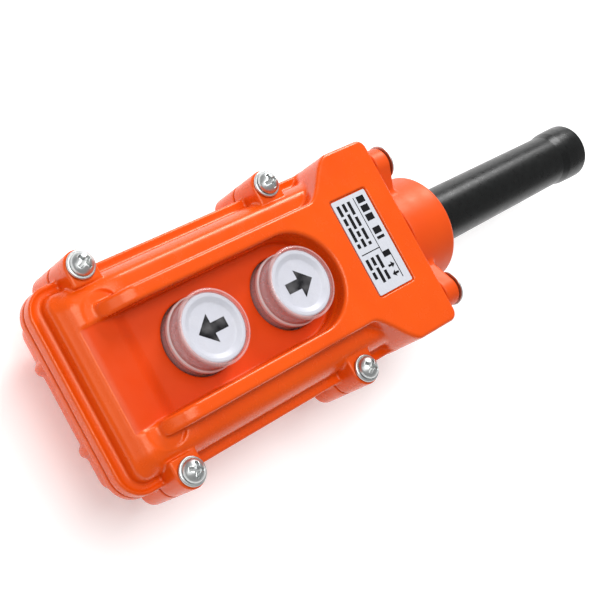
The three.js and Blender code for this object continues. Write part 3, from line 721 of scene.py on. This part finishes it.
def plated(name, colour, duller, rough):
    """Plated or rolled metal: fine drawn lines, cloudy plating and small dull spots."""
    n = Nodes(name)
    cloud = n.noise(400, 4, 0.6)
    drawn = n.noise(900, 3, 0.5, (1, 1, 14))
    tone = n.mix(n.spread(cloud, 0.0, 1.0), duller, colour)
    normal = n.bump(drawn, 0.000002, 0.15)
    gloss = n.spread(n.noise(900, 3), rough - 0.03, rough + 0.05)
    return n.set(Base_Color=tone, Metallic=1.0, Roughness=gloss, Normal=normal)


def clear_boot(name, cover, colour, ior):
    """Clear soft moulding: glossy, with a faint ripple and an uneven milky haze."""
    n = Nodes(name)
    haze = n.noise(300, 3)
    normal = n.bump(n.noise(380, 2), 0.00005, 0.35)
    return n.set(
        Base_Color=colour,
        Alpha=n.spread(haze, cover - 0.03, cover + 0.04),
        Roughness=n.spread(haze, 0.04, 0.1),
        IOR=ior,
        Normal=normal,
    )


def printed_film():
    """Satin printed film with a faint brushed tone across it."""
    n = Nodes("label_film")
    across = n.noise(500, 4, 0.6, (1, 8, 1))
    tone = n.mix(n.spread(across, 0.0, 1.0), rgb(192, 195, 203), rgb(202, 204, 211))
    normal = n.bump(n.noise(1800, 2), 0.00001, 0.4)
    return n.set(Base_Color=tone, Roughness=n.spread(across, 0.3, 0.42), Normal=normal)


WARM = (1.0, 0.9, 0.66, 1.0)
orange = moulded("orange_abs", rgb(230, 83, 10), rgb(223, 76, 8), 0.24)
# Matt skin for the pocket floor; its darker orange is painted shade for the recess.
orange_matt_painted_shade = moulded("orange_abs_matt_painted_shade", rgb(216, 66, 9), rgb(210, 60, 7), 0.36)
orange_satin = moulded("orange_abs_satin", rgb(226, 78, 10), rgb(219, 71, 8), 0.42)
reflecting(orange, 1.45, WARM)
reflecting(orange_matt_painted_shade, 1.38, WARM)
reflecting(orange_satin, 1.4, WARM)

white_plastic = moulded("white_cap", rgb(197, 198, 207), rgb(192, 193, 202), 0.36, 0.00001)
black_plastic = moulded("black_phenolic", rgb(40, 41, 43), rgb(30, 31, 33), 0.5)
nylon = moulded("natural_nylon", rgb(222, 216, 200), rgb(205, 198, 180), 0.45)
sleeve_rubber = rubber("sleeve_rubber", rgb(15, 16, 16), rgb(22, 23, 23), 0.3)
reflecting(sleeve_rubber, 1.33)
gasket_rubber = rubber("gasket_rubber", rgb(38, 38, 38), rgb(50, 50, 50), 0.8)
zinc = plated("bright_zinc", rgb(206, 208, 206), rgb(190, 193, 194), 0.34)
brass = plated("brass", rgb(214, 176, 98), rgb(186, 148, 78), 0.3)
# The wall's pink tint is a painted reflection of the orange housing; the clear rubber itself is not pink.
boot_wall_pink_reflection = clear_boot("boot_wall_pink_reflection", 0.36, (0.88, 0.58, 0.56, 1.0), 1.6)
boot_bead = clear_boot("boot_bead", 0.7, (0.9, 0.82, 0.82, 1.0), 1.6)
boot_window = clear_boot("boot_window", 0.015, (0.8, 0.78, 0.8, 1.0), 1.25)
label_film = printed_film()
ink = moulded("charcoal_ink", rgb(20, 20, 23), rgb(15, 15, 18), 0.6, 0.000005)
reflecting(ink, 1.2)


def dress(obj, material):
    obj.data.materials.clear()
    obj.data.materials.append(material)


def place(obj, body, slot, material, *nodes):
    """Gives a piece its material and its body, and hides the CAD nodes that it stands for."""
    dress(obj, material)
    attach(obj, body)
    if nodes:
        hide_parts(*nodes)


# CAD nodes that stay as they are get the material of their slot
FINISH = {
    "housing": orange, "sleeve_rubber": sleeve_rubber, "boot_clear": boot_wall_pink_reflection,
    "cap_white": white_plastic, "zinc_steel": zinc, "brass": brass, "label": label_film,
    "block_black": black_plastic, "gasket": gasket_rubber, "nylon": nylon,
}
for entry in frame["record"]["subparts"]:
    node = frame["nodes"][entry["node"]]
    for material_slot in node.material_slots:
        material_slot.material = FINISH[entry["material_slot"]]


# ---------------------------------------------------------------- the two shells and the collar
def add_shells():
    cover = moulding("cover_moulding", cover_field, cover_low, cover_high, 0.42)
    place(cover, "station", "housing", orange, "front_cover")
    matt_pocket_painted_shade(cover)
    casing = moulding("casing_moulding", casing_field, case_low, case_high, 0.6)
    place(casing, "station", "housing", orange, "back_casing")
    collar = moulding("collar_moulding", collar_field, collar_low, collar_high, 0.42)
    place(collar, "station", "housing", orange_satin, "neck_collar")


def matt_pocket_painted_shade(cover):
    """Gives the pocket's floor the matt skin of the mould and a darker orange, which is painted shade in the
    recess.
    """
    cover.data.materials.append(orange_matt_painted_shade)
    for face in cover.data.polygons:
        x, y, _ = face.center / MM
        if face.normal.z > 0.7 and y > END_SLOPE_Y[1] and pocket_plan(x, y) < 0:
            face.material_index = 1


# ---------------------------------------------------------------- rubber sleeve
def add_sleeve():
    """A tube with a flange held in the collar and a bulged tip."""
    bore, flange, tube = 5.4, 11.6, 9.05
    foot, shoulder, tip = sleeve_low[1], HEAD_Y + 0.9, sleeve_high[1]
    outline = [
        (bore, foot, 0.3), (flange, foot, 0.4), (flange, shoulder, 0.4), (tube, shoulder, 0.3),
        (tube, HEAD_Y + 20.7, 0), (tube - 0.4, tip - 12.6, 2), (tube + 0.2, tip - 9.4, 3),
        (tube + 0.35, tip - 5, 6), (tube + 0.35, tip, 0.9), (bore, tip, 0.5),
    ]
    sleeve = turned("sleeve_moulding", outline, (0, 0, COLLAR_Z), "y", 96)
    place(sleeve, "station", "sleeve_rubber", sleeve_rubber, "cable_sleeve")


# ---------------------------------------------------------------- screws and washers
def screw_head_mesh():
    low, high = (-3.5, -3.5, -0.1), (3.5, 3.5, 2.4)
    form = moulding("screw_head_form", screw_head_field, low, high, 0.12)
    mesh = form.data
    bpy.data.objects.remove(form)
    return mesh


head_mesh = screw_head_mesh()


def pan_screw(name, seat, turn, shank, axis="z"):
    """One screw: a domed head with its cross turned by an angle, and a plain shank below."""
    shape = bmesh.new()
    shape.from_mesh(head_mesh)
    spin = Matrix.Rotation(math.radians(turn), 4, "Z")
    stand = Matrix.Rotation(math.radians(-90), 4, "X") if axis == "y" else Matrix.Identity(4)
    radius, depth = shank
    stem = bmesh.ops.create_cone(
        shape, cap_ends=True, segments=24, radius1=radius * MM * 0.8, radius2=radius * MM,
        depth=depth * MM,
    )
    bmesh.ops.translate(shape, verts=stem["verts"], vec=(0, 0, -(depth / 2 - 0.2) * MM))
    shape.transform(Matrix.Translation(Vector(seat) * MM) @ stand @ spin)
    mesh = bpy.data.meshes.new(name)
    shape.to_mesh(mesh)
    shape.free()
    return show(name, mesh, 50)


def add_cover_screw(corner, turn):
    """A screw on its washer, on one of the cover's bosses."""
    x, y, _ = SCREWS[corner]
    low, high = extent(f"cover_screw_{corner}")
    seat_z = high[2] - SCREW_HEAD_H
    screw = pan_screw(f"pan_screw_{corner}", (x, y, seat_z), turn, (1.85, seat_z - low[2]))
    place(screw, "station", "zinc_steel", zinc, f"cover_screw_{corner}")
    under, over = (level[2] for level in extent(f"cover_washer_{corner}"))
    ring = [(2.1, under, 0.1), (4.05, under, 0.2), (4.05, over, 0.35), (2.1, over, 0.15)]
    washer = turned(f"flat_washer_{corner}", ring, (x, y, 0), "z", 48)
    place(washer, "station", "zinc_steel", zinc, f"cover_washer_{corner}")


def add_collar_screw(ear, turn):
    """A screw with a wide washer, on one of the collar's ears."""
    x, _, z = middle(f"collar_screw_{ear}")
    low, high = extent(f"collar_screw_{ear}")
    seat_y = high[1] - SCREW_HEAD_H
    screw = pan_screw(f"pan_screw_collar_{ear}", (x, seat_y, z), turn, (1.7, seat_y - low[1]), "y")
    place(screw, "station", "zinc_steel", zinc, f"collar_screw_{ear}")
    under, over = seat_y - 0.45, seat_y - 0.02
    ring = [(1.8, under, 0.1), (5.4, under, 0.2), (5.4, over, 0.15), (1.8, over, 0.1)]
    washer = turned(f"collar_washer_{ear}", ring, (x, 0, z), "y", 48)
    place(washer, "station", "zinc_steel", zinc)


# ---------------------------------------------------------------- buttons
def add_boot(name, x, y):
    """A clear boot: clamped rim, thin wall with a bead around it, flat window over the cap."""
    foot, top = (level[2] for level in extent(f"{name}_boot"))
    rim, wall, bead, neck, inside = 13.35, 10.6, 10.85, 10.35, 10.2
    window = top - 0.5
    skin = [
        (inside, foot, 0.2), (rim, foot, 0.3), (rim, foot + 1.3, 0.3), (wall, foot + 1.3, 0.3),
        (wall, foot + 6.2, 0.2), (bead, foot + 6.6, 0.2), (bead, foot + 7.6, 0.3),
        (neck, foot + 8.1, 0.3), (neck, foot + 12.3, 0.6), (bead, foot + 13.2, 0.45),
        (10.7, top, 0.75), (0, top, 0), (0, window, 0), (9.95, window, 0.5),
        (9.85, foot + 6.7, 0.2), (inside, foot + 6.3, 0.2),
    ]
    boot = turned(f"{name}_boot_skin", skin, (x, y, 0), "z", 96)
    # The wall's material carries a pink tint, a painted reflection of the orange housing.
    place(boot, "station", "boot_clear", boot_wall_pink_reflection, f"{name}_boot")
    boot.data.materials.append(boot_window)
    boot.data.materials.append(boot_bead)
    for face in boot.data.polygons:
        spot = face.center / MM - Vector((x, y, foot))
        if spot.xy.length < 9.9 and spot.z > window - foot - 0.1:
            face.material_index = 1
        elif spot.xy.length > 10.4 and 6.3 < spot.z < 7.9:
            face.material_index = 2


def add_cap(name, x, y):
    """A hollow white cap with a flange half way up and a dished top."""
    base, crown = (level[2] for level in extent(f"{name}_cap"))
    skirt, flange, neck, edge, dish = 9.3, 9.8, 8.8, 9.7, 7.1
    outline = [
        (0, base + 7.8, 0), (8.1, base + 7.8, 0.5), (8.1, base, 0.2), (skirt, base, 0.3),
        (skirt, base + 5.2, 0.2), (flange, base + 5.6, 0.2), (flange, base + 7.0, 0.35),
        (neck, base + 7.3, 0.2), (neck, crown - 1.7, 0.3), (edge, crown - 1.2, 0.2),
        (edge, crown, 0.5), (8.5, crown, 0.5), (dish, crown - 0.9, 0.8), (0, crown - 0.9, 0),
    ]
    cap = turned(f"{name}_cap_moulding", outline, (x, y, 0), "z", 96)
    place(cap, f"{name}_button", "cap_white", white_plastic, f"{name}_cap")


def add_button(name):
    """A button's boot, cap, return spring and printed arrow."""
    x, y, _ = BUTTONS[name]
    add_boot(name, x, y)
    add_cap(name, x, y)
    coil = spring_coil(f"{name}_spring_coil", (x, y), extent(f"{name}_spring"))
    place(coil, "station", "zinc_steel", zinc, f"{name}_spring")
    mark = arrow(x, y, 9.6, 8.4, 3.0, 4.9, 1 if name == "up" else -1)
    crown = extent(f"{name}_cap")[1][2]
    legend = flat_solid(f"{name}_arrow", [mark], crown - 0.92, crown - 0.85)
    place(legend, f"{name}_button", "block_black", ink)


# ---------------------------------------------------------------- label plate and its print
def label_marks():
    """Generic print: two rules, a stepped line, rows of blocks and two small arrows."""
    left, bottom, _ = LABEL_MID - LABEL_HALF
    right, top, _ = LABEL_MID + LABEL_HALF
    marks = [
        bar(left + 1.2, top - 5.6, right - 11.2, top - 5.35),
        bar(left + 17.4, bottom + 1.0, left + 17.7, top - 5.4),
        bar(right - 11.2, top - 5.6, right - 9.4, top - 2.6),
        bar(right - 9.4, top - 2.9, right - 2.0, top - 2.6),
    ]
    for first, last in ((1.4, 3.5), (4.3, 6.4), (7.2, 9.3), (11.6, 13.7), (14.5, 15.4)):
        marks.append(bar(left + first, top - 4.5, left + last, top - 1.5))
    word_rows = ((3.4, 2.2, 4.6, 1.4), (2.6, 4.8, 1.8, 2.6), (4.2, 3.0, 3.6, 1.0))
    for row, words in enumerate(word_rows):
        y = bottom + 1.2 + 2.2 * row
        for start, count in ((left + 1.6, 4), (left + 19.2, 2)):
            for word in words[:count]:
                marks.append(bar(start, y, start + word, y + 1.15))
                start += word + 0.75
    for inset, up in ((6.6, 1), (3.9, -1)):
        marks.append(arrow(right - inset, top - 4.6, 2.6, 2.0, 0.7, 1.3, up))
    return marks


def add_label():
    face_z = label_high[2]
    outline = rounded_bar(LABEL_MID, LABEL_HALF, 0.5)
    film = flat_solid("label_plate", [outline], label_low[2], face_z)
    place(film, "station", "label", label_film, "rating_label")
    printing = flat_solid("label_print", label_marks(), face_z - 0.02, face_z + 0.03)
    place(printing, "station", "block_black", ink)


add_shells()
add_sleeve()
for corner, turn in zip(CORNERS, (24, 62, 8, 41)):
    add_cover_screw(corner, turn)
for ear, turn in zip(EARS, (33, 70, 12, 52)):
    add_collar_screw(ear, turn)
for name in BUTTONS:
    add_button(name)
add_label()


# ---------------------------------------------------------------- floor, lights and camera
def pale_floor():
    n = Nodes("pale_floor")
    paper = n.mix(n.noise(60, 3), (0.92, 0.92, 0.92, 1), (0.94, 0.94, 0.94, 1))
    return n.set(
        Base_Color=paper, Roughness=0.7, Emission_Color=(1, 1, 1, 1), Emission_Strength=0.24
    )


floor = flat_solid("floor", [bar(-1500, -1500, 1500, 1500)], -20, -0.1)
dress(floor, pale_floor())


def lamp(name, position, size, watts):
    """A softbox aimed at the middle of the object; places and sizes are in metres."""
    data = bpy.data.lights.new(name, "AREA")
    data.shape = "RECTANGLE"
    data.size, data.size_y = size
    data.energy = watts
    obj = bpy.data.objects.new(name, data)
    obj.location = position
    aim = Vector((0, -0.04, 0.03)) - Vector(position)
    obj.rotation_euler = aim.to_track_quat("-Z", "Y").to_euler()
    bpy.context.scene.collection.objects.link(obj)


lamp("key", (-0.7, 0.64, 0.56), (0.42, 0.42), 8.6)
lamp("overhead", (-0.2, -0.12, 1.1), (0.8, 0.6), 8.0)
lamp("front", (-0.1, -0.75, 0.8), (0.5, 0.4), 1.2)

world = bpy.data.worlds.new("studio")
world.use_nodes = True
world.node_tree.nodes["Background"].inputs["Color"].default_value = (1, 1, 1, 1)
world.node_tree.nodes["Background"].inputs["Strength"].default_value = 0.36
bpy.context.scene.world = world
bpy.context.scene.view_settings.view_transform = "Standard"

AIM = Vector((0.0038, -0.0325, 0.035))
AZIMUTH = math.radians(2.117)
ELEVATION = math.radians(52.74)
ROLL = math.radians(59.81)
DISTANCE = 0.37175
camera_data = bpy.data.cameras.new("camera")
camera_data.sensor_width = 36
camera_data.lens = 78.1
camera_data.clip_start = 0.01
camera = bpy.data.objects.new("camera", camera_data)
back = Vector((
    math.sin(AZIMUTH) * math.cos(ELEVATION),
    -math.cos(AZIMUTH) * math.cos(ELEVATION),
    math.sin(ELEVATION),
))
facing = (-back).to_track_quat("-Z", "Y").to_matrix() @ Matrix.Rotation(ROLL, 3, "Z")
camera.matrix_world = Matrix.Translation(AIM + back * DISTANCE) @ facing.to_4x4()
bpy.context.scene.collection.objects.link(camera)
bpy.context.scene.camera = camera

# ---------------------------------------------------------------- moving pieces get meshes of their own
for joint in frame["joints"]:
    name = joint["name"].split("_")[0]
    for piece, node in (("boot_skin", "boot"), ("spring_coil", "spring")):
        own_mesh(bpy.data.objects[f"{name}_{piece}"])
